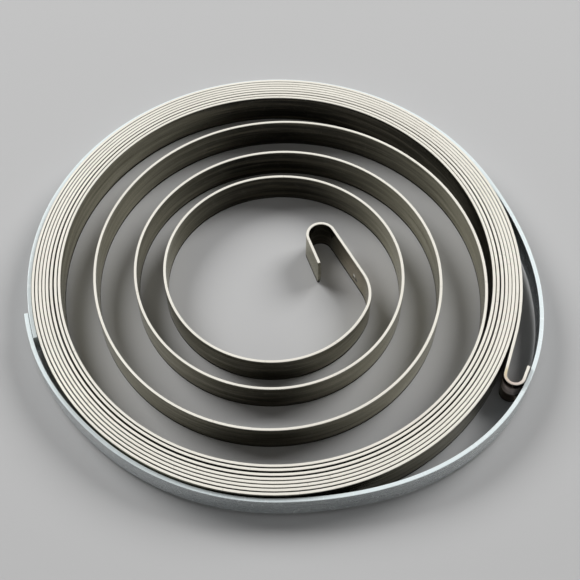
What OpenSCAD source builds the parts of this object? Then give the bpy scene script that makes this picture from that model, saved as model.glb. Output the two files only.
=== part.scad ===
// Recoil starter spring: a flat strip wound into a spiral, held closed by a split retainer hoop.
// Lists of four sizes go round the coil in winding order: right, back, left, front.

/* [Strip] */
// Width of the strip, which is the height of the spring
strip_w = 8; // [5:0.5:12]
// Thickness of the strip
strip_t = 0.65; // [0.4:0.05:0.8]
// How far the sheared ends of the strip bow outwards
end_bow = 0.5; // [0.2:0.1:1]

/* [Packed turns] */
// Number of turns that lie packed against the hoop
packed_turns = 8; // [4:1:9]
// Gap between neighbouring packed turns at the four sides
packed_gap = [0.19, 0.1, 0.17, 0.22]; // [0.1:0.01:0.4]
// Shares of that gap from one packed turn to the next, from the outermost turn inwards
gap_shares = [0.9, 0.7, 0.7, 0.7, 1.3, 1.7, 1]; // [0.5:0.1:2]
// Play between the hoop and the outermost turn at the four sides
hoop_play = [0.4, 0.1, 0.4, 0.15]; // [0.1:0.05:1]

/* [Open turns] */
// Room between the packed turns and the first open turn
first_room = [1.4, 7.25, 7.2, 7.45]; // [1:0.05:9]
// Room between the first and the second open turn
second_room = [9.35, 8.55, 8.35, 8.85]; // [1:0.05:10]
// Room between the second and the third open turn
third_room = [7.7, 6.65, 5.9, 5.8]; // [1:0.05:9]

/* [Inner hook] */
// Angle round the third open turn at which the strip bends in to the leg
knee_start = 330.5; // [290:0.5:340]
// Radius of the bend between the third open turn and the leg
knee_r = 10; // [4:0.5:12]
// Direction in which the leg runs
leg_dir = 118.5; // [100:0.5:140]
// Length of the leg
leg_len = 13.8; // [8:0.2:17]
// Inside radius of the hook
hook_r = 2.8; // [1.5:0.1:4]
// Angle through which the hook is bent
hook_bend = 171; // [140:1:180]
// Length of the hook's free end
hook_tail = 7.6; // [3:0.2:9]

/* [Outer hook] */
// Radius of the outer end where it leaves the coil
lead_r = 59; // [56:1:90]
// Angle through which the outer end is curved at that radius
lead_angle = 18.5; // [12:0.5:22]
// Length of the straight shank between that curve and the anchor hook
shank_len = 8.8; // [4:0.2:12]
// Inside radius of the anchor hook
anchor_r = 1.7; // [1:0.1:3]
// Angle through which the anchor hook is bent
anchor_bend = 175; // [140:1:180]
// Length of the anchor hook's free end
anchor_tail = 3.8; // [2:0.2:6]

/* [Hoop] */
// Inside diameter of the hoop
hoop_d = 110; // [104:0.5:120]
// Thickness of the band
hoop_t = 0.9; // [0.5:0.05:1.5]
// Height of the band
hoop_h = 6; // [3:0.5:8]
// Length over which the ends of the band lap
hoop_lap = 6.5; // [3:0.5:12]
// Gap between the lapped ends, and between the hoop and what it lies against
hoop_fit = 0.1; // [0.05:0.05:0.3]
// Direction of the band's inner end
lap_dir = 199; // [170:1:210]
// Angle over which the lapped end comes back down to the coil
lap_fade = 30; // [20:1:45]
// Angle on each side of the lap over which the band is pulled in against the coil
pull_span = 40; // [20:1:60]
// Angle on each side over which the hoop bulges round the anchor hook
bulge_span = 58; // [50:1:90]

/* [Hidden] */

// Angles between neighbouring points on the coil, the hoop and the small bends
coil_step = 5;
hoop_step = 3;
bend_step = 8;

SIDES = 4;
QUARTER = 360 / SIDES;
open_rooms = [first_room, second_room, third_room];
open_start = SIDES * packed_turns;
peel_blend = 0.4;
turns = packed_turns + len(open_rooms);
knee_angle = 360 * (turns - 1) + knee_start;
hoop_r = hoop_d / 2;
strip_color = [0.42, 0.41, 0.37];
hoop_color = [0.78, 0.81, 0.84];

function last(list) = list[len(list) - 1];
function reverse(list) = [for (i = [len(list) - 1:-1:0]) list[i]];
function sum_to(list, n) = n <= 0 ? 0 : list[n - 1] + sum_to(list, n - 1);
function wave(x) = (1 + cos(180 * min(abs(x), 1))) / 2;

// Radius of the strip's centre line where quarter turn i crosses one of the four sides
function side_of(i) = i - SIDES * floor(i / SIDES);
function gap_share(turn) = gap_shares[min(turn, len(gap_shares) - 1)];
function shares_to(turn) = turn <= 0 ? turn : gap_share(turn - 1) + shares_to(turn - 1);
function packed_side(i) =
    let (side = side_of(i), turn = floor(i / SIDES))
    hoop_r - hoop_play[side] - strip_t / 2 - turn * strip_t - shares_to(turn) * packed_gap[side];

// The same for the open turns, where i counts from their start. Before it they run on in a straight line,
// and past their end the last room is kept, so that the coil goes on closing in.
function open_pitches(side) =
    [for (room = concat([for (room = open_rooms) room[side]], [last(last(open_rooms))])) strip_t + room];
function open_side(i) =
    let (side = side_of(i))
    i < 0
        ? open_side(0) - i * (open_side(0) - open_side(1))
        : packed_side(open_start - SIDES + side) - sum_to(open_pitches(side), floor(i / SIDES) + 1);

// Smooth radius between four neighbouring side radii
function ease(a, b, c, d, u) =
    b + u * ((c - a) + u * ((2 * a - 5 * b + 4 * c - d) + u * (3 * (b - c) + d - a))) / 2;
function packed_radius(q) =
    let (i = floor(q))
    ease(packed_side(i - 1), packed_side(i), packed_side(i + 1), packed_side(i + 2), q - i);
function open_radius(q) =
    let (i = floor(q))
    ease(open_side(i - 1), open_side(i), open_side(i + 1), open_side(i + 2), q - i);

// The strip leaves the packed turns where the open curve comes inside them, with a smooth change over
function smooth_min(a, b) = (a + b - norm([a - b, peel_blend])) / 2;
function coil_radius(angle) =
    let (q = angle / QUARTER, packed = packed_radius(q))
    q < open_start - SIDES / 2 ? packed : smooth_min(packed, open_radius(q - open_start));
function coil_point(angle) = coil_radius(angle) * [cos(angle), sin(angle)];

// A pose on the centre line is [x, y, heading]
function coil_pose(angle) =
    let (p = coil_point(angle), along = coil_point(angle + 1) - coil_point(angle - 1))
    [p.x, p.y, atan2(along.y, along.x)];
function turned_back(pose) = [pose.x, pose.y, pose.z + 180];
function straight(pose, len) = [pose.x + len * cos(pose.z), pose.y + len * sin(pose.z), pose.z];
function bend(pose, radius, sweep, step) =
    let (
        r = sign(sweep) * radius,
        centre = [pose.x - r * sin(pose.z), pose.y + r * cos(pose.z)],
        n = ceil(abs(sweep) / step)
    )
    [for (i = [1:n]) let (h = pose.z + sweep * i / n) [centre.x + r * sin(h), centre.y - r * cos(h), h]];

// Outer end, walked from the right side of the coil backwards to its tip
outer_start = turned_back(coil_pose(0));
lead = bend(outer_start, lead_r, -lead_angle, coil_step);
shank_end = straight(last(lead), shank_len);
anchor = bend(shank_end, anchor_r + strip_t / 2, anchor_bend, bend_step);
anchor_tip = straight(last(anchor), anchor_tail);
outer_end = concat(lead, [shank_end], anchor, [anchor_tip]);

// Inner end, walked from the end of the coil to its tip
knee_turns = ceil(knee_angle / coil_step);
coil = [for (i = [0:knee_turns]) coil_pose(knee_angle * i / knee_turns)];
knee_sweep = leg_dir - last(coil).z;
knee = bend(last(coil), knee_r, knee_sweep, bend_step);
leg_end = straight(last(knee), leg_len);
hook = bend(leg_end, hook_r + strip_t / 2, hook_bend, bend_step);
hook_tip = straight(last(hook), hook_tail);

strip_line = concat(
    [for (pose = reverse(outer_end)) turned_back(pose)],
    coil, knee, [leg_end], hook, [hook_tip]
);

// The hoop is round, apart from its pulled-in lap and the bulge round the anchor hook
lap_angle = hoop_lap / hoop_r * 180 / PI;
hoop_start = lap_dir - lap_angle;
hoop_sweep = 360 + lap_angle;
anchor_middle = anchor[floor(len(anchor) / 2)];
bulge_dir = atan2(anchor_middle.y, anchor_middle.x);
function off_angle(a, b) = abs((a - b + 180) - 360 * floor((a - b + 180) / 360) - 180);
function bulge_share(angle) = wave(off_angle(angle, bulge_dir) / bulge_span);
function anchor_room(pose) = norm([pose.x, pose.y]) + strip_t / 2 + hoop_fit - hoop_r;
bulge = max([
    for (pose = concat(anchor, [anchor_tip]))
        anchor_room(pose) / bulge_share(atan2(pose.y, pose.x))
]);
function lap_rise(along) = (hoop_t + hoop_fit) * wave(max(0, along - lap_angle) / lap_fade);
function coil_room(angle) = hoop_r - coil_radius(angle - 360 * floor(angle / 360)) - strip_t / 2 - hoop_fit;
function lap_dip(angle) = coil_room(angle) * wave(off_angle(angle, lap_dir) / pull_span);
function hoop_inside(along) =
    let (angle = hoop_start + along)
    hoop_r + lap_rise(along) - lap_dip(angle) + bulge * bulge_share(angle);
function hoop_side(thickness) =
    let (n = ceil(hoop_sweep / hoop_step))
    [for (i = [0:n])
        let (along = hoop_sweep * i / n, a = hoop_start + along, r = hoop_inside(along) + thickness)
        r * [cos(a), sin(a)]];

// The middle of the hoop's footprint is put at the origin
hoop_outline = hoop_side(hoop_t);
hoop_x = [for (p = hoop_outline) p.x];
hoop_y = [for (p = hoop_outline) p.y];
middle = [(max(hoop_x) + min(hoop_x)) / 2, (max(hoop_y) + min(hoop_y)) / 2, 0];

// The sides of the strip, half its thickness off its centre line
function strip_side(poses, offset) =
    [for (pose = poses) [pose.x - offset * sin(pose.z), pose.y + offset * cos(pose.z)]];
strip_outline = concat(strip_side(strip_line, strip_t / 2), reverse(strip_side(strip_line, -strip_t / 2)));

// Takes the corners off a sheared end, so that its edge bows outwards by end_bow
module end_cut(pose) {
    half = strip_w / 2;
    bow_r = (half * half + end_bow * end_bow) / (2 * end_bow);
    translate([pose.x, pose.y, half])
        rotate([0, 0, pose.z])
            difference() {
                cube([4 * end_bow, 4 * strip_t, 2 * strip_w], center = true);
                translate([-bow_r, 0, 0])
                    rotate([90, 0, 0])
                        cylinder(r = bow_r, h = 5 * strip_t, center = true, $fn = 180);
            }
}

module spiral_spring() {
    color(strip_color)
        translate(-middle)
            difference() {
                linear_extrude(height = strip_w)
                    polygon(strip_outline);
                end_cut(anchor_tip);
                end_cut(hook_tip);
            }
}

module retainer_hoop() {
    color(hoop_color)
        translate([0, 0, (strip_w - hoop_h) / 2] - middle)
            linear_extrude(height = hoop_h)
                polygon(concat(hoop_outline, reverse(hoop_side(0))));
}

spiral_spring();
retainer_hoop();
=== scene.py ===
"""Looks of a recoil starter spring: a dark rolled strip with bright slit edges, in a zinc-plated hoop."""

import math

import bpy
import numpy as np
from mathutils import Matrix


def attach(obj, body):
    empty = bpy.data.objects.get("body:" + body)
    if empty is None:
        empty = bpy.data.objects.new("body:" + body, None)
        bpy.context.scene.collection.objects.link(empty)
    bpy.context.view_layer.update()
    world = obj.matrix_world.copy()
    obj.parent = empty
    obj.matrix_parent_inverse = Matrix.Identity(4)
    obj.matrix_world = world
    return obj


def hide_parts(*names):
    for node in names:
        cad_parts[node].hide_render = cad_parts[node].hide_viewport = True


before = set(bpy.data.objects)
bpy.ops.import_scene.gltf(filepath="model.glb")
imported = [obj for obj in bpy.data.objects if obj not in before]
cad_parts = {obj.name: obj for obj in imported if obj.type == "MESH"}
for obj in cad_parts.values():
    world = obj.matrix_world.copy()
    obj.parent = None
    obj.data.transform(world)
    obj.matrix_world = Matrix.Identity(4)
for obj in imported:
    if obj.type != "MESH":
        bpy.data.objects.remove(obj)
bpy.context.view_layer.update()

MM = 0.001

# Sizes in millimetres and degrees, as the solids have them.
# Lists of four go round the coil in winding order: right, back, left, front.
STRIP_W, STRIP_T, END_BOW = 8.0, 0.65, 0.5
PACKED_TURNS = 8
PACKED_GAP = (0.19, 0.10, 0.17, 0.22)
# Shares of that gap from one packed turn to the next, from the outermost turn inwards
GAP_SHARES = (0.9, 0.7, 0.7, 0.7, 1.3, 1.7, 1.0)
HOOP_PLAY = (0.40, 0.10, 0.40, 0.15)
OPEN_ROOMS = ((1.40, 7.25, 7.20, 7.45), (9.35, 8.55, 8.35, 8.85), (7.70, 6.65, 5.90, 5.80))
PEEL_BLEND = 0.4
KNEE_START, KNEE_R = 330.5, 10.0
LEG_DIR, LEG_LEN = 118.5, 13.8
HOOK_R, HOOK_BEND, HOOK_TAIL = 2.8, 171.0, 7.6
LEAD_R, LEAD_ANGLE, SHANK_LEN = 59.0, 18.5, 8.8
ANCHOR_R, ANCHOR_BEND, ANCHOR_TAIL = 1.7, 175.0, 3.8
HOOP_D, HOOP_T, HOOP_H = 110.0, 0.9, 6.0
HOOP_LAP, HOOP_FIT = 6.5, 0.1
LAP_DIR, LAP_FADE, PULL_SPAN, BULGE_SPAN = 199.0, 30.0, 40.0, 58.0

SIDES = 4
QUARTER = 360.0 / SIDES
HOOP_R = HOOP_D / 2
OPEN_START = SIDES * PACKED_TURNS
KNEE_ANGLE = 360.0 * (PACKED_TURNS + len(OPEN_ROOMS) - 1) + KNEE_START

# Degrees between neighbouring points of the coil, the small bends and the hoop,
# and of the small bends in the solids
COIL_STEP, BEND_STEP, HOOP_STEP, SOLID_BEND_STEP = 2.5, 5.0, 1.5, 8.0
# Pieces that the straight lengths are divided into
SHANK_PIECES, ANCHOR_TAIL_PIECES, LEG_PIECES, HOOK_TAIL_PIECES = 4, 3, 6, 4
# Radius of the rounded edges, and the pieces that a rounded corner and a flat side are divided into
STRIP_EDGE_R, HOOP_EDGE_R = 0.14, 0.12
CORNER_PIECES, FLAT_PIECES = 4, 6
# Places of the finishes in a piece's list of materials; left and right are seen along the way of the strip
RIGHT_SIDE, EDGE, END, LEFT_SIDE = range(4)

# On the texture, a piece's sides lie in rows one above the other, and its two ends on one more row.
STRIP_ROWS, HOOP_ROWS = 14, 5
ROW_START, ROW_LENGTH, ROW_FOOT, ROW_HEIGHT = 0.005, 0.98, 0.04, 0.92
ROW_LIMITS = (-0.005, 1.01)
FIRST_END, LAST_END, END_WIDTH, END_MIDDLE, END_HALF = 0.1, 0.4, 0.1, 0.5, 0.4


# The strip's centre line

def packed_side(i):
    """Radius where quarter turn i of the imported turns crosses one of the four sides."""
    turn, side = divmod(i, SIDES)
    shares = turn if turn < 0 else sum(GAP_SHARES[min(k, len(GAP_SHARES) - 1)] for k in range(turn))
    return HOOP_R - HOOP_PLAY[side] - STRIP_T / 2 - turn * STRIP_T - shares * PACKED_GAP[side]


def open_side(i):
    """The same for the open turns, counted from their start. Before it they run on in a straight line."""
    if i < 0:
        return open_side(0) - i * (open_side(0) - open_side(1))
    turn, side = divmod(i, SIDES)
    pitches = [STRIP_T + room[side] for room in OPEN_ROOMS] + [STRIP_T + OPEN_ROOMS[-1][-1]]
    return packed_side(OPEN_START - SIDES + side) - sum(pitches[: turn + 1])


def ease(a, b, c, d, u):
    """Smooth value between b and c, a share u of the way, with a and d as neighbours."""
    return b + u * ((c - a) + u * ((2 * a - 5 * b + 4 * c - d) + u * (3 * (b - c) + d - a))) / 2


def through(side_radius, q):
    """Radius after q quarter turns, eased between the radii at the sides."""
    i = math.floor(q)
    return ease(*(side_radius(i + k) for k in (-1, 0, 1, 2)), q - i)


def coil_radius(angle):
    """Radius of the centre line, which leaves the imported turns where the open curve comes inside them."""
    q = angle / QUARTER
    packed = through(packed_side, q)
    if q < OPEN_START - SIDES / 2:
        return packed
    opened = through(open_side, q - OPEN_START)
    return (packed + opened - math.hypot(packed - opened, PEEL_BLEND)) / 2


def outward(angle):
    """Unit direction at an angle."""
    turn = math.radians(angle)
    return np.array((math.cos(turn), math.sin(turn)))


def coil_point(angle):
    return coil_radius(angle) * outward(angle)


def coil_pose(angle):
    """A pose on the centre line is x, y and heading."""
    x, y = coil_point(angle)
    ahead = coil_point(angle + 1) - coil_point(angle - 1)
    return (x, y, math.degrees(math.atan2(ahead[1], ahead[0])))


def turned_back(pose):
    return (pose[0], pose[1], pose[2] + 180)


def straight(pose, length, pieces):
    """Poses straight on from a pose."""
    x, y = outward(pose[2])
    steps = [length * k / pieces for k in range(1, pieces + 1)]
    return [(pose[0] + step * x, pose[1] + step * y, pose[2]) for step in steps]


def bend(pose, radius, sweep, step):
    """Poses round a bend that starts at a pose and turns left where sweep is above 0."""
    r = math.copysign(radius, sweep)
    x, y = outward(pose[2])
    centre = (pose[0] - r * y, pose[1] + r * x)
    count = math.ceil(abs(sweep) / step)
    poses = []
    for k in range(1, count + 1):
        heading = pose[2] + sweep * k / count
        x, y = outward(heading)
        poses.append((centre[0] + r * y, centre[1] - r * x, heading))
    return poses


def outer_end():
    """Poses from the right side of the coil back to the tip, those of the anchor's bend, and the tip."""
    lead = bend(turned_back(coil_pose(0)), LEAD_R, -LEAD_ANGLE, COIL_STEP)
    shank = straight(lead[-1], SHANK_LEN, SHANK_PIECES)
    anchor = bend(shank[-1], ANCHOR_R + STRIP_T / 2, ANCHOR_BEND, BEND_STEP)
    tail = straight(anchor[-1], ANCHOR_TAIL, ANCHOR_TAIL_PIECES)
    return lead + shank + anchor + tail, anchor, tail[-1]


def inner_end(start):
    """Poses from the end of the coil through the knee, the leg and the hook to the tip."""
    knee = bend(start, KNEE_R, LEG_DIR - start[2], BEND_STEP)
    leg = straight(knee[-1], LEG_LEN, LEG_PIECES)
    hook = bend(leg[-1], HOOK_R + STRIP_T / 2, HOOK_BEND, BEND_STEP)
    return knee + leg + hook + straight(hook[-1], HOOK_TAIL, HOOK_TAIL_PIECES)


# The hoop's line

def wave(x):
    """Falls smoothly from 1 at 0 to 0 at 1 and at -1."""
    return (1 + math.cos(math.pi * min(abs(x), 1))) / 2


def off_angle(a, b):
    return abs((a - b + 180) % 360 - 180)


def hoop_path(anchor, anchor_tip):
    """Radius and angle of points round the hoop's inner face, from its outer end to its inner one."""
    lap_angle = math.degrees(HOOP_LAP / HOOP_R)
    sweep = 360 + lap_angle
    # The solids divide the anchor's bend more coarsely, and take the middle of that division.
    coarse = math.ceil(ANCHOR_BEND / SOLID_BEND_STEP)
    middle = anchor[round(len(anchor) * (coarse // 2 + 1) / coarse) - 1]
    bulge_dir = math.degrees(math.atan2(middle[1], middle[0]))

    def bulge_share(angle):
        return wave(off_angle(angle, bulge_dir) / BULGE_SPAN)

    def anchor_room(pose):
        reach = math.hypot(pose[0], pose[1]) + STRIP_T / 2 + HOOP_FIT - HOOP_R
        return reach / bulge_share(math.degrees(math.atan2(pose[1], pose[0])))

    def lap_rise(along):
        return (HOOP_T + HOOP_FIT) * wave(max(0, along - lap_angle) / LAP_FADE)

    def lap_dip(angle):
        coil_room = HOOP_R - coil_radius(angle % 360) - STRIP_T / 2 - HOOP_FIT
        return coil_room * wave(off_angle(angle, LAP_DIR) / PULL_SPAN)

    bulge = max(anchor_room(pose) for pose in anchor + [anchor_tip])
    count = math.ceil(sweep / HOOP_STEP)
    path = []
    for k in range(count + 1):
        along = sweep * k / count
        angle = LAP_DIR - lap_angle + along
        radius = HOOP_R + lap_rise(along) - lap_dip(angle) + bulge * bulge_share(angle)
        path.append((radius, angle))
    return path


def hoop_poses(path, offset):
    """Poses round the hoop at a distance outside its inner face."""
    poses = []
    for radius, angle in path:
        x, y = (radius + offset) * outward(angle)
        poses.append((x, y, angle + QUARTER))
    return poses


# Meshes

def edge_profile(thick, low, high, radius):
    """Rows round a cross-section with rounded edges: across, height, and the outward direction in both."""
    rise = high - low - 2 * radius
    climb = [low + radius + rise * k / FLAT_PIECES for k in range(1, FLAT_PIECES)]
    corners = (
        (thick / 2 - radius, high - radius),
        (-thick / 2 + radius, high - radius),
        (-thick / 2 + radius, low + radius),
        (thick / 2 - radius, low + radius),
    )
    rows = []
    for quarter, (across, height) in enumerate(corners):
        for k in range(CORNER_PIECES + 1):
            out = outward(QUARTER * (quarter + k / CORNER_PIECES))
            rows.append((across + radius * out[0], height + radius * out[1], *out))
        if quarter == 1:
            rows += [(-thick / 2, z, -1.0, 0.0) for z in reversed(climb)]
        if quarter == 3:
            rows += [(thick / 2, z, 1.0, 0.0) for z in climb]
    return np.array(rows)


def run_lengths(points):
    """Distance from the first point to each of them, along the line that they make."""
    steps = np.diff(np.array(points)[:, :2], axis=0)
    return np.r_[0, np.cumsum(np.hypot(*steps.T))]


def side_kind(across, next_across):
    """Material of the side between two neighbouring points of a cross-section."""
    if abs(across - next_across) > 1e-9:
        return EDGE
    return LEFT_SIDE if across > 0 else RIGHT_SIDE


def side_place(row, rows, share_along, share_round):
    """Place on the texture of a point on the sides, in one of the rows."""
    low, high = ROW_LIMITS
    u = ROW_START + ROW_LENGTH * min(max(share_along, low), high)
    return u, (row + ROW_FOOT + ROW_HEIGHT * share_round) / (rows + 1)


def end_place(start, rows, across, up):
    """Place on the texture of a point on an end, on the row above those of the sides."""
    return start + END_WIDTH * across / STRIP_T, (rows + END_MIDDLE + END_HALF * up) / (rows + 1)


def mirrored(profile, i):
    """The point of a cross-section that lies across from point i."""
    return int(np.argmin(np.hypot(profile[:, 0] + profile[i, 0], profile[:, 1] - profile[i, 1])))


def strip_mesh(name, poses, profile, bow, rows):
    """Sweeps a cross-section along poses and closes both ends, which bow outwards by bow.

    The attributes along, height and across give each point's place on the strip in millimetres,
    and edge is how far the surface faces up or down there."""
    poses = np.array(poses)
    n, m = len(poses), len(profile)
    heading = np.radians(poses[:, 2])
    ahead = np.stack((np.cos(heading), np.sin(heading)), 1)
    left = np.stack((-np.sin(heading), np.cos(heading)), 1)
    along = run_lengths(poses)
    across, height, out_across, out_up = profile.T
    up = (2 * height - height.max() - height.min()) / (height.max() - height.min())

    xy = poses[:, None, :2] + across[None, :, None] * left[:, None, :]
    pull = bow * up[:, None] ** 2
    xy[0] += pull * ahead[0]
    xy[-1] -= pull * ahead[-1]
    points = np.dstack((xy, np.tile(height, (n, 1)))).reshape(-1, 3) * MM
    out = out_across[None, :, None] * left[:, None, :]
    normals = np.dstack((out, np.tile(out_up, (n, 1)))).reshape(-1, 3)

    round_about = run_lengths(np.vstack((profile, profile[:1])))
    round_share = round_about / round_about[-1]
    row_length = along[-1] / rows
    faces, kinds, corner_normals, places = [], [], [], []
    for j in range(n - 1):
        row = min(int((along[j] + along[j + 1]) / 2 / row_length), rows - 1)
        for i in range(m):
            k = (i + 1) % m
            corners = ((j, i, i), (j, k, i + 1), (j + 1, k, i + 1), (j + 1, i, i))
            faces.append([a * m + b for a, b, _ in corners])
            kinds.append(side_kind(across[i], across[k]))
            for a, b, g in corners:
                corner_normals.append(normals[a * m + b])
                places.append(side_place(row, rows, along[a] / row_length - row, round_share[g]))

    # The cross-section is the same on both sides, so each end is closed by level bands.
    left_points = sorted(np.flatnonzero(across > 0).tolist(), key=lambda i: height[i])
    right_points = [mirrored(profile, i) for i in left_points]
    for j, facing, start in ((0, -1, FIRST_END), (n - 1, 1, LAST_END)):
        normal = np.array((*(facing * ahead[j]), 0))
        for k in range(len(left_points) - 1):
            ring = [left_points[k], left_points[k + 1], right_points[k + 1], right_points[k]]
            if facing < 0:
                ring.reverse()
            faces.append([j * m + i for i in ring])
            kinds.append(END)
            for i in ring:
                corner_normals.append(normal)
                places.append(end_place(start, rows, across[i], up[i]))

    mesh = bpy.data.meshes.new(name)
    mesh.from_pydata(points.tolist(), [], faces)
    mesh.polygons.foreach_set("material_index", kinds)
    mesh.polygons.foreach_set("use_smooth", [True] * len(faces))
    layer = mesh.uv_layers.new(name="OFBake")
    layer.uv.foreach_set("vector", np.array(places, np.float32).ravel())
    attributes = (
        ("along", np.repeat(along, m)),
        ("height", np.tile(height, n)),
        ("across", np.tile(across, n)),
        ("edge", np.tile(np.abs(out_up), n)),
    )
    for label, values in attributes:
        attribute = mesh.attributes.new(label, "FLOAT", "POINT")
        attribute.data.foreach_set("value", np.asarray(values, np.float32))
    mesh.update()
    mesh.normals_split_custom_set(corner_normals)
    piece = bpy.data.objects.new(name, mesh)
    bpy.context.collection.objects.link(piece)
    return piece


outer, anchor, anchor_tip = outer_end()
coil_count = math.ceil(KNEE_ANGLE / COIL_STEP)
coil = [coil_pose(KNEE_ANGLE * k / coil_count) for k in range(coil_count + 1)]
strip_line = [turned_back(pose) for pose in reversed(outer)] + coil + inner_end(coil[-1])
hoop_inside = hoop_path(anchor, anchor_tip)

# The middle of the hoop's footprint is the origin.
hoop_outside = np.array(hoop_poses(hoop_inside, HOOP_T))[:, :2]
middle = (hoop_outside.max(0) + hoop_outside.min(0)) / 2


def centred(poses):
    return [(x - middle[0], y - middle[1], h) for x, y, h in poses]


strip_profile = edge_profile(STRIP_T, 0, STRIP_W, STRIP_EDGE_R)
spring = strip_mesh("spiral_strip", centred(strip_line), strip_profile, END_BOW, STRIP_ROWS)
hoop_low = (STRIP_W - HOOP_H) / 2
hoop_profile = edge_profile(HOOP_T, hoop_low, hoop_low + HOOP_H, HOOP_EDGE_R)
hoop = strip_mesh("hoop_band", centred(hoop_poses(hoop_inside, HOOP_T / 2)), hoop_profile, 0.0, HOOP_ROWS)

# Places along the strip: the middle of the anchor hook's bend, the start of the open turns,
# the start of the inner hook's free end and the end of its leg
spring_along = run_lengths(strip_line)
anchor_middle = spring_along[ANCHOR_TAIL_PIECES + len(anchor) // 2]
open_from = spring_along[len(outer) + round(coil_count * 360.0 * PACKED_TURNS / KNEE_ANGLE)]
tail_from = spring_along[-1] - HOOK_TAIL
leg_end = tail_from - math.radians(HOOK_BEND) * (HOOK_R + STRIP_T / 2)


# Nodes

# Sockets of a Mix node that mixes colours
MIX_SHARE, MIX_FIRST, MIX_SECOND, MIX_RESULT = 0, 6, 7, 2


def put(tree, kind, **values):
    """Adds a node and sets its properties."""
    node = tree.nodes.new("ShaderNode" + kind)
    for key, value in values.items():
        setattr(node, key, value)
    return node


def give(tree, socket, value):
    """Links a socket's value, or sets it."""
    if isinstance(value, bpy.types.NodeSocket):
        tree.links.new(value, socket)
    else:
        socket.default_value = value


def feed(tree, node, **inputs):
    """Links or sets a node's inputs. Underscores stand for spaces."""
    for key, value in inputs.items():
        give(tree, node.inputs[key.replace("_", " ")], value)
    return node


def maths(tree, operation, *values):
    node = put(tree, "Math", operation=operation)
    for socket, value in zip(node.inputs, values):
        give(tree, socket, value)
    return node.outputs[0]


def times(tree, value, *factors):
    for factor in factors:
        value = maths(tree, "MULTIPLY", value, factor)
    return value


def largest(tree, value, *others):
    for other in others:
        value = maths(tree, "MAXIMUM", value, other)
    return value


def span(tree, value, low, high, to_low=0.0, to_high=1.0):
    """Takes a value from one range to another, and keeps it inside that."""
    node = put(tree, "MapRange")
    feed(tree, node, Value=value, From_Min=low, From_Max=high, To_Min=to_low, To_Max=to_high)
    return node.outputs["Result"]


def between(tree, share, low, high):
    """The value a share of the way from low to high."""
    return span(tree, share, 0, 1, low, high)


def opaque(colour):
    """A colour as a socket takes it, or the socket that gives one."""
    return colour if isinstance(colour, bpy.types.NodeSocket) else (*colour, 1)


def blend_colours(tree, share, first, second):
    """The first colour with a share of the second."""
    node = put(tree, "Mix", data_type="RGBA")
    give(tree, node.inputs[MIX_SHARE], share)
    give(tree, node.inputs[MIX_FIRST], opaque(first))
    give(tree, node.inputs[MIX_SECOND], opaque(second))
    return node.outputs[MIX_RESULT]


def ramp(tree, value, *stops):
    """Colours at places from 0 to 1, each stop (place, colour)."""
    node = put(tree, "ValToRGB")
    points = node.color_ramp.elements
    while len(points) < len(stops):
        points.new(0.5)
    for point, (place, colour) in zip(points, stops):
        point.position = place
        point.color = opaque(colour)
    tree.links.new(value, node.inputs["Fac"])
    return node.outputs["Color"]


def grey(level):
    return (level, level, level)


def attribute_of(tree, name):
    return put(tree, "Attribute", attribute_name=name).outputs["Fac"]


# Effects that the finishes share

def group(name, inputs, outputs):
    """An empty node group, the sockets of what it is given, and its result."""
    tree = bpy.data.node_groups.new(name, "ShaderNodeTree")
    for label, kind, default in inputs:
        socket = tree.interface.new_socket(label, in_out="INPUT", socket_type="NodeSocket" + kind)
        socket.default_value = default
    for label, kind in outputs:
        tree.interface.new_socket(label, in_out="OUTPUT", socket_type="NodeSocket" + kind)
    return tree, tree.nodes.new("NodeGroupInput").outputs, tree.nodes.new("NodeGroupOutput")


def make_rolling_lines():
    """Fine lines and slow patches along a rolled band."""
    given_sockets = (
        ("Along", "Float", 0),
        ("Height", "Float", 0),
        ("Line Length", "Float", 40),
        ("Lines per Height", "Float", 5),
        ("Patch Length", "Float", 30),
    )
    tree, given, result = group("rolling lines", given_sockets, (("Lines", "Float"), ("Patches", "Float")))
    place = put(tree, "CombineXYZ")
    feed(tree, place, X=maths(tree, "DIVIDE", given["Along"], given["Line Length"]),
         Y=times(tree, given["Height"], given["Lines per Height"]))
    lines = feed(tree, put(tree, "TexNoise"), Vector=place.outputs[0], Scale=1.0, Detail=5.0, Roughness=0.65)
    far = put(tree, "CombineXYZ")
    feed(tree, far, X=maths(tree, "DIVIDE", given["Along"], given["Patch Length"]),
         Y=times(tree, given["Height"], 0.22), Z=7.3)
    patches = feed(tree, put(tree, "TexNoise"), Vector=far.outputs[0], Scale=1.0, Detail=3.0, Roughness=0.55)
    tree.links.new(span(tree, lines.outputs["Fac"], 0.3, 0.7), result.inputs["Lines"])
    tree.links.new(span(tree, patches.outputs["Fac"], 0.3, 0.7), result.inputs["Patches"])
    return tree


def make_handling_marks():
    """Small scuffs and specks from handling."""
    given_sockets = (("Along", "Float", 0), ("Height", "Float", 0), ("Amount", "Float", 0.5))
    tree, given, result = group("handling marks", given_sockets, (("Scuffs", "Float"), ("Specks", "Float")))
    place = put(tree, "CombineXYZ")
    feed(tree, place, X=given["Along"], Y=given["Height"])
    scuffs = put(tree, "TexNoise")
    feed(tree, scuffs, Vector=place.outputs[0], Scale=0.55, Detail=6.0, Roughness=0.7, Distortion=1.2)
    worn = span(tree, scuffs.outputs["Fac"], 0.56, 0.72)
    tree.links.new(times(tree, worn, given["Amount"]), result.inputs["Scuffs"])
    specks = feed(tree, put(tree, "TexVoronoi"), Vector=place.outputs[0], Scale=0.8, Randomness=1.0)
    dots = span(tree, specks.outputs["Distance"], 0.16, 0.05)
    tree.links.new(times(tree, dots, given["Amount"]), result.inputs["Specks"])
    return tree


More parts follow.
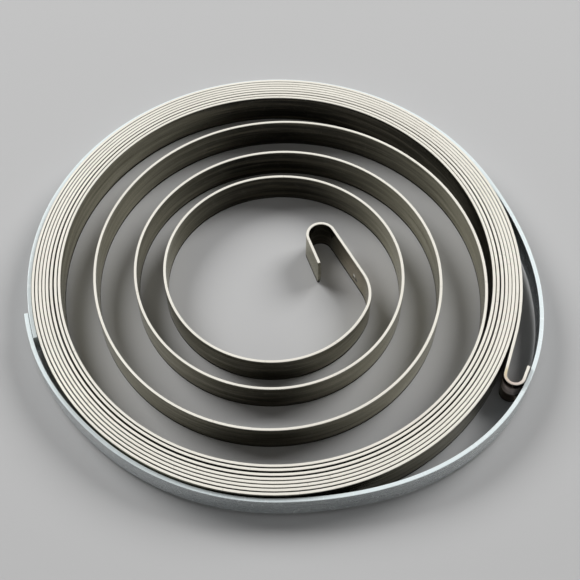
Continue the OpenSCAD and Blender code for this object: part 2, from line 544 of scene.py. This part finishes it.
def make_heat_tint():
    """Temper colours at a bend that was heated: brown in the bend, then straw towards the coil."""
    given_sockets = (
        ("Along", "Float", 0),
        ("Place", "Float", 0),
        ("Reach", "Float", 6),
        ("Mottle", "Float", 0.5),
    )
    tree, given, result = group("heat tint", given_sockets, (("Colour", "Color"), ("Share", "Float")))
    on = maths(tree, "DIVIDE", maths(tree, "SUBTRACT", given["Along"], given["Place"]), given["Reach"])
    on = maths(tree, "ADD", on, times(tree, maths(tree, "SUBTRACT", given["Mottle"], 0.5), 0.12))
    on = span(tree, on, -1.0, 1.0)
    colour = ramp(
        tree, on,
        (0.15, (0.70, 0.64, 0.58)),
        (0.35, (0.60, 0.48, 0.42)),
        (0.55, (0.55, 0.42, 0.35)),
        (0.70, (0.62, 0.48, 0.30)),
        (0.80, (0.62, 0.52, 0.28)),
        (0.95, (0.76, 0.70, 0.54)),
    )
    share = ramp(
        tree, on,
        (0.12, grey(0)),
        (0.32, grey(0.8)),
        (0.50, grey(1)),
        (0.82, grey(1)),
        (0.97, grey(0)),
    )
    tree.links.new(colour, result.inputs["Colour"])
    tree.links.new(share, result.inputs["Share"])
    return tree


def make_one_side():
    """A share that grows in one direction: 0 at the distance Start from the middle of the part, 1 at End."""
    given_sockets = (("Direction", "Vector", (1, 0, 0)), ("Start", "Float", 0), ("End", "Float", 1))
    tree, given, result = group("one side", given_sockets, (("Share", "Float"),))
    out = put(tree, "VectorMath", operation="DOT_PRODUCT")
    tree.links.new(put(tree, "TexCoord").outputs["Object"], out.inputs[0])
    tree.links.new(given["Direction"], out.inputs[1])
    tree.links.new(span(tree, out.outputs["Value"], given["Start"], given["End"]), result.inputs["Share"])
    return tree


ROLLING_LINES = make_rolling_lines()
ONE_SIDE = make_one_side()
HANDLING_MARKS = make_handling_marks()
HEAT_TINT = make_heat_tint()


def use(tree, made, **inputs):
    """Places a node group in a material, and gives its outputs."""
    node = tree.nodes.new("ShaderNodeGroup")
    node.node_tree = made
    return feed(tree, node, **inputs).outputs


def one_side(tree, direction, start, end):
    """The share of that group, for distances in millimetres."""
    return use(tree, ONE_SIDE, Direction=direction, Start=start * MM, End=end * MM)["Share"]


# Finishes

RIGHTWARDS, LEFTWARDS, FRONTWARDS = (1.0, 0.0, 0.0), (-1.0, 0.0, 0.0), (0.0, -1.0, 0.0)

# The rolled face of the strip
STEEL_DARK, STEEL_OLIVE = (0.010, 0.009, 0.007), (0.040, 0.035, 0.022)
STEEL_STREAK, STEEL_SCUFF = (0.16, 0.135, 0.08), (0.20, 0.19, 0.17)
# The burnt colour of the anchor's bend, and a light band painted on it as a reflection
STEEL_BURNT, STEEL_REFLECTION_BAND = (0.035, 0.012, 0.009), (0.92, 0.78, 0.72)
# Olive painted as light on the side faces, and the leg's brown, lightened partly as painted light
SIDE_LIGHT_OLIVE, LEG_BROWN_LIT = (0.50, 0.475, 0.36), (0.54, 0.47, 0.37)
PIT_BLACK, NICK_BRIGHT, CONTACT_SHADE_BLACK = (0.004, 0.003, 0.002), (0.95, 0.93, 0.86), (0.003, 0.003, 0.003)
OIL_TINT = (0.94, 0.91, 0.76)
# How far the temper colours reach along the strip from the middle of the anchor hook's bend
HEAT_REACH = 6.0
# The stretch on the inner hook's leg painted brown and lighter, partly its own tint and partly painted light:
# how far its middle lies before the leg's end, and how far from that middle it ends and is full
BROWN_BACK, BROWN_NONE, BROWN_FULL = 10.0, 10.0, 2.0
# The olive colour painted as light on the faces towards the right: where it begins and is full, from the
# start of the open turns, and where it is gone and last full, from the end of the leg
SIDE_LIGHT_NONE_BEFORE, SIDE_LIGHT_FULL_FROM, SIDE_LIGHT_NONE_AFTER, SIDE_LIGHT_FULL_TO = -40.0, 5.0, 1.0, -4.0
# Length over which it comes back before the inner hook's free end
FREE_END_FADE = 3.0
# Marks on the leg: distance before its end, height and radius
NICK = (10.5, 3.0, 0.55)
PITS = ((11.4, 2.3, 0.65), (10.3, 2.0, 0.50))
# Heights at which the painted contact shadow along the foot of the faces ends and is full
CONTACT_SHADE_NONE, CONTACT_SHADE_FULL = 0.95, 0.5

# The slit edge of the strip
IVORY, IVORY_DULL, IVORY_SPECK = (0.92, 0.89, 0.80), (0.84, 0.81, 0.725), (0.36, 0.31, 0.25)
# Corner colours: dark skin that is also painted shade in the gaps between turns, and a lighter tone painted
# as light towards the right and the back
SKIN_DARK_AND_SHADE, SKIN_LIT = (0.10, 0.092, 0.075), (0.76, 0.73, 0.645)
LIT_TOWARDS = (0.94, 0.35, 0.0)


def finish_of(name):
    """A new material with its nodes and surface shader, and the places along and up the band."""
    material = bpy.data.materials.new(name)
    material.use_nodes = True
    tree = material.node_tree
    shader = tree.nodes["Principled BSDF"]
    return material, tree, shader, attribute_of(tree, "along"), attribute_of(tree, "height")


def rolled_lines(tree, along, height, line_length, lines_per_height, patch_length):
    return use(tree, ROLLING_LINES, Along=along, Height=height, Line_Length=line_length,
               Lines_per_Height=lines_per_height, Patch_Length=patch_length)


def relief(tree, shader, height, strength, distance_mm):
    bump = feed(tree, put(tree, "Bump"), Height=height, Strength=strength, Distance=distance_mm * MM)
    tree.links.new(bump.outputs["Normal"], shader.inputs["Normal"])


def anchor_heat(tree, along, lines):
    return use(tree, HEAT_TINT, Along=along, Place=anchor_middle, Reach=HEAT_REACH, Mottle=lines["Patches"])


def heated_bend(tree, along, height, lines):
    """Colour and share of the anchor's heated bend, and the share of a light mottled band painted there as a
    reflection.
    """
    heat = anchor_heat(tree, along, lines)
    burnt = blend_colours(tree, 0.92, heat["Colour"], STEEL_BURNT)
    level = span(tree, height, 0.0, STRIP_W)
    # Painted reflection: a light mottled band at mid height of the bend's face
    band = ramp(tree, level, (0.38, grey(0)), (0.46, grey(1)), (0.72, grey(1)), (0.84, grey(0)))
    reflection_band = times(tree, band, span(tree, lines["Patches"], 0.1, 0.6, 0.65, 1.0))
    colour = blend_colours(tree, reflection_band, burnt, STEEL_REFLECTION_BAND)
    return colour, heat["Share"], times(tree, heat["Share"], reflection_band)


def side_light_share(tree, along, lines):
    """Share of an olive colour painted as light on the faces, on the open turns towards the right,
    on all turns at the left and on the inner hook's free end."""
    right = times(
        tree, one_side(tree, RIGHTWARDS, start=2, end=24),
        one_side(tree, FRONTWARDS, start=-45, end=-15),
        span(tree, along, open_from + SIDE_LIGHT_NONE_BEFORE, open_from + SIDE_LIGHT_FULL_FROM),
        span(tree, along, leg_end + SIDE_LIGHT_NONE_AFTER, leg_end + SIDE_LIGHT_FULL_TO),
    )
    left = times(tree, one_side(tree, LEFTWARDS, start=12, end=36), 0.85)
    free_end = span(tree, along, tail_from - FREE_END_FADE, tail_from, 0.0, 0.7)
    return times(tree, largest(tree, right, left, free_end), between(tree, lines["Lines"], 0.35, 1.0))


def brown_and_light_share(tree, along, lines):
    """Share of the stretch on the inner hook's leg that is painted brown and lighter, partly its tint and
    partly painted light.
    """
    off = maths(tree, "ABSOLUTE", maths(tree, "SUBTRACT", along, leg_end - BROWN_BACK))
    return times(tree, span(tree, off, BROWN_NONE, BROWN_FULL), between(tree, lines["Lines"], 0.5, 1.0))


def spot_share(tree, along, height, back, level, radius):
    """Share of a round mark on the inner hook's leg."""
    off_along = maths(tree, "POWER", maths(tree, "SUBTRACT", along, leg_end - back), 2.0)
    off_level = maths(tree, "POWER", maths(tree, "SUBTRACT", height, level), 2.0)
    return span(tree, maths(tree, "SQRT", maths(tree, "ADD", off_along, off_level)), radius, radius / 2)


def rolled_face():
    material, tree, shader, along, height = finish_of("oiled_rolled_face")
    lines = rolled_lines(tree, along, height, line_length=30.0, lines_per_height=0.8, patch_length=22.0)
    marks = use(tree, HANDLING_MARKS, Along=along, Height=height, Amount=0.6)
    streak = span(tree, lines["Lines"], 0.45, 0.95, 0.0, 0.6)
    heated, heated_share, reflection_band = heated_bend(tree, along, height, lines)
    side_light = side_light_share(tree, along, lines)
    brown_and_light = brown_and_light_share(tree, along, lines)
    # The nick and the pits are on the side that faces the hook's free end
    inner = span(tree, attribute_of(tree, "across"), 0.0, 0.1)
    nick = times(tree, spot_share(tree, along, height, *NICK), inner)
    pits = largest(tree, *(spot_share(tree, along, height, *pit) for pit in PITS))
    pits = times(tree, pits, inner)
    # Painted shadow: the foot of the faces is darkened where the strip meets the floor
    contact_shade = span(tree, height, CONTACT_SHADE_NONE, CONTACT_SHADE_FULL)

    steel = blend_colours(tree, lines["Patches"], STEEL_DARK, STEEL_OLIVE)
    layers = (
        (streak, STEEL_STREAK),
        (times(tree, marks["Scuffs"], 0.5), STEEL_SCUFF),
        (heated_share, heated),
        (times(tree, side_light, 0.85), SIDE_LIGHT_OLIVE),
        (brown_and_light, LEG_BROWN_LIT),
        (pits, PIT_BLACK),
        (nick, NICK_BRIGHT),
        (contact_shade, CONTACT_SHADE_BLACK),
    )
    for share, colour in layers:
        steel = blend_colours(tree, share, steel, colour)
    tree.links.new(steel, shader.inputs["Base Color"])

    rough = largest(tree, between(tree, lines["Lines"], 0.16, 0.28), contact_shade)
    tree.links.new(rough, shader.inputs["Roughness"])
    bare = largest(tree, reflection_band, contact_shade, nick, pits)
    covered = largest(tree, streak, brown_and_light, side_light)
    metal = times(tree, between(tree, bare, 1.0, 0.1), between(tree, covered, 1.0, 0.6))
    tree.links.new(metal, shader.inputs["Metallic"])
    shader.inputs["Specular Tint"].default_value = opaque(OIL_TINT)
    # Fresh oil lies unevenly over it, apart from the bare places
    oil = times(
        tree, between(tree, lines["Patches"], 0.6, 1.0),
        between(tree, lines["Lines"], 0.05, 1.0),
        between(tree, bare, 1.0, 0.0),
    )
    tree.links.new(oil, shader.inputs["Coat Weight"])
    shader.inputs["Coat Roughness"].default_value = 0.14
    shader.inputs["Coat IOR"].default_value = 1.5
    sunk = maths(tree, "SUBTRACT", lines["Lines"], times(tree, pits, 2.0))
    relief(tree, shader, sunk, strength=0.6, distance_mm=0.05)
    return material


def slit_edge():
    material, tree, shader, along, height = finish_of("bright_slit_edge")
    lines = rolled_lines(tree, along, height, line_length=1.6, lines_per_height=3.0, patch_length=14.0)
    marks = use(tree, HANDLING_MARKS, Along=along, Height=height, Amount=0.5)
    ivory = blend_colours(tree, lines["Patches"], IVORY, IVORY_DULL)
    ivory = blend_colours(tree, times(tree, marks["Specks"], 0.5), ivory, IVORY_SPECK)
    heat = anchor_heat(tree, along, lines)
    ivory = blend_colours(tree, times(tree, heat["Share"], 0.75), ivory, heat["Colour"])
    # The dark oiled skin of the faces reaches round the corners, darkened there also as painted shade in the
    # gaps between the turns and along the lower edge
    bare = maths(tree, "ADD", attribute_of(tree, "edge"), times(tree, lines["Lines"], 0.1))
    bare = span(tree, bare, 0.55, 0.98)
    # On the upper edge it is painted lighter towards the right and the back, as painted light
    upper = span(tree, height, 0.4 * STRIP_W, 0.6 * STRIP_W)
    lit_share = times(tree, one_side(tree, LIT_TOWARDS, start=-35, end=45), upper)
    skin_light_and_shade = blend_colours(tree, lit_share, SKIN_DARK_AND_SHADE, SKIN_LIT)
    tree.links.new(blend_colours(tree, bare, skin_light_and_shade, ivory), shader.inputs["Base Color"])
    tree.links.new(between(tree, lines["Lines"], 0.42, 0.58), shader.inputs["Roughness"])
    shader.inputs["Metallic"].default_value = 0.05
    relief(tree, shader, lines["Lines"], strength=0.2, distance_mm=0.02)
    return material


def zinc_face(name, light, dull, drawn, scuff, speck, metal):
    """Zinc plate with light and dull patches, drawn lines, scuffs and specks."""
    material, tree, shader, along, height = finish_of(name)
    lines = rolled_lines(tree, along, height, line_length=9.0, lines_per_height=4.0, patch_length=12.0)
    marks = use(tree, HANDLING_MARKS, Along=along, Height=height, Amount=0.8)
    zinc = blend_colours(tree, lines["Patches"], light, dull)
    zinc = blend_colours(tree, times(tree, lines["Lines"], 0.25), zinc, drawn)
    zinc = blend_colours(tree, times(tree, marks["Scuffs"], 0.5), zinc, scuff)
    zinc = blend_colours(tree, times(tree, marks["Specks"], 0.35), zinc, speck)
    tree.links.new(zinc, shader.inputs["Base Color"])
    rough = between(tree, lines["Lines"], 0.18, 0.32)
    rough = maths(tree, "ADD", rough, times(tree, marks["Scuffs"], 0.15))
    tree.links.new(rough, shader.inputs["Roughness"])
    shader.inputs["Metallic"].default_value = metal
    relief(tree, shader, lines["Lines"], strength=0.3, distance_mm=0.02)
    return material


# Both lists of finishes are in the order right side, edge, end, left side.
rolled = rolled_face()
for finish in (rolled, slit_edge(), rolled, rolled):
    spring.data.materials.append(finish)

zinc_rim = zinc_face(
    "zinc_rim",
    light=(0.89, 0.97, 0.98),
    dull=(0.86, 0.945, 0.955),
    drawn=(0.79, 0.89, 0.905),
    scuff=(0.93, 0.94, 0.94),
    speck=(0.66, 0.72, 0.73),
    metal=0.05,
)
zinc_outside = zinc_face(
    "zinc_band_face",
    light=(0.76, 0.79, 0.79),
    dull=(0.62, 0.66, 0.67),
    drawn=(0.36, 0.40, 0.44),
    scuff=(0.93, 0.94, 0.94),
    speck=(0.22, 0.23, 0.24),
    metal=0.8,
)
# The inside is painted dark, as shade and a dark reflection between the hoop and the strip
zinc_inside_shaded = zinc_face(
    "shaded_band_face",
    light=(0.17, 0.21, 0.23),
    dull=(0.10, 0.13, 0.15),
    drawn=(0.06, 0.08, 0.09),
    scuff=(0.28, 0.32, 0.34),
    speck=(0.04, 0.05, 0.05),
    metal=0.9,
)
for finish in (zinc_outside, zinc_rim, zinc_rim, zinc_inside_shaded):
    hoop.data.materials.append(finish)

for piece, node, finish in ((spring, "spiral_spring", "spring_steel"), (hoop, "retainer_hoop", "zinc_plate")):
    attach(piece, "root")
    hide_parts(node)


# Floor, light and camera

# Distances from the middle at which the floor starts to fade and is gone, in metres
FLOOR_NEAR, FLOOR_FAR = 0.2, 0.8
FLOOR_LEVEL = 0.53
# Strength of the surroundings as light, and as they are seen directly or in a reflection
SKY_LIGHT, SKY_SEEN = 0.12, 0.5
# Soft lamps, aimed at the middle of the part: name, place and width in metres, and power in watts
LAMPS = (
    ("soft_left", (-0.80, 0.61, 0.80), 0.72, 11.2),
    ("soft_right", (0.80, 0.61, 0.80), 0.72, 11.2),
    ("soft_front", (0.10, -0.62, 0.40), 0.50, 0.4),
)
# The camera looks down at this angle, square on to the front
CAMERA_PLACE, CAMERA_DOWN = (0.00141, -0.14809, 0.2346), 58.0
# Focal length and width of the picture in pixels, and width of the sensor in millimetres
FOCAL_PIXELS, PICTURE_PIXELS, SENSOR = 1211, 580, 36.0


def pale_floor():
    """A floor that fades into the pale surroundings away from the part."""
    mesh = bpy.data.meshes.new("floor")
    corners = [(x * FLOOR_FAR, y * FLOOR_FAR, 0) for x, y in ((-1, -1), (1, -1), (1, 1), (-1, 1))]
    mesh.from_pydata(corners, [], [(0, 1, 2, 3)])
    floor = bpy.data.objects.new("floor", mesh)
    bpy.context.collection.objects.link(floor)
    material = bpy.data.materials.new("pale_floor")
    material.use_nodes = True
    tree = material.node_tree
    shader = tree.nodes["Principled BSDF"]
    shader.inputs["Base Color"].default_value = opaque(grey(FLOOR_LEVEL))
    shader.inputs["Roughness"].default_value = 0.85
    shader.inputs["Specular IOR Level"].default_value = 0.2
    reach = put(tree, "VectorMath", operation="LENGTH")
    tree.links.new(put(tree, "TexCoord").outputs["Object"], reach.inputs[0])
    fade = put(tree, "MixShader")
    tree.links.new(span(tree, reach.outputs["Value"], FLOOR_NEAR, FLOOR_FAR), fade.inputs[0])
    tree.links.new(shader.outputs[0], fade.inputs[1])
    tree.links.new(put(tree, "BsdfTransparent").outputs[0], fade.inputs[2])
    tree.links.new(fade.outputs[0], tree.nodes["Material Output"].inputs["Surface"])
    mesh.materials.append(material)


def soft_lamp(name, place, width, power):
    lamp = bpy.data.lights.new(name, "AREA")
    lamp.shape = "DISK"
    lamp.size = width
    lamp.energy = power
    held = bpy.data.objects.new(name, lamp)
    bpy.context.collection.objects.link(held)
    held.location = place
    x, y, z = place
    held.rotation_euler = (math.atan2(math.hypot(x, y), z), 0, math.atan2(x, -y))


def studio():
    """Pale surroundings and the lamps."""
    world = bpy.data.worlds.new("studio")
    bpy.context.scene.world = world
    world.use_nodes = True
    tree = world.node_tree
    sky = tree.nodes["Background"]
    sky.inputs["Color"].default_value = opaque(grey(1.0))
    ray = put(tree, "LightPath").outputs
    seen = largest(tree, ray["Is Camera Ray"], ray["Is Glossy Ray"], ray["Is Transmission Ray"])
    tree.links.new(between(tree, seen, SKY_LIGHT, SKY_SEEN), sky.inputs["Strength"])
    for lamp in LAMPS:
        soft_lamp(*lamp)


def photo_camera():
    camera = bpy.data.cameras.new("camera")
    camera.sensor_width = SENSOR
    camera.lens = SENSOR * FOCAL_PIXELS / PICTURE_PIXELS
    camera.clip_start = 0.01
    held = bpy.data.objects.new("camera", camera)
    bpy.context.collection.objects.link(held)
    held.location = CAMERA_PLACE
    held.rotation_euler = (math.radians(90 - CAMERA_DOWN), 0, 0)
    bpy.context.scene.camera = held


pale_floor()
studio()
photo_camera()
bpy.context.scene.view_settings.view_transform = "Standard"
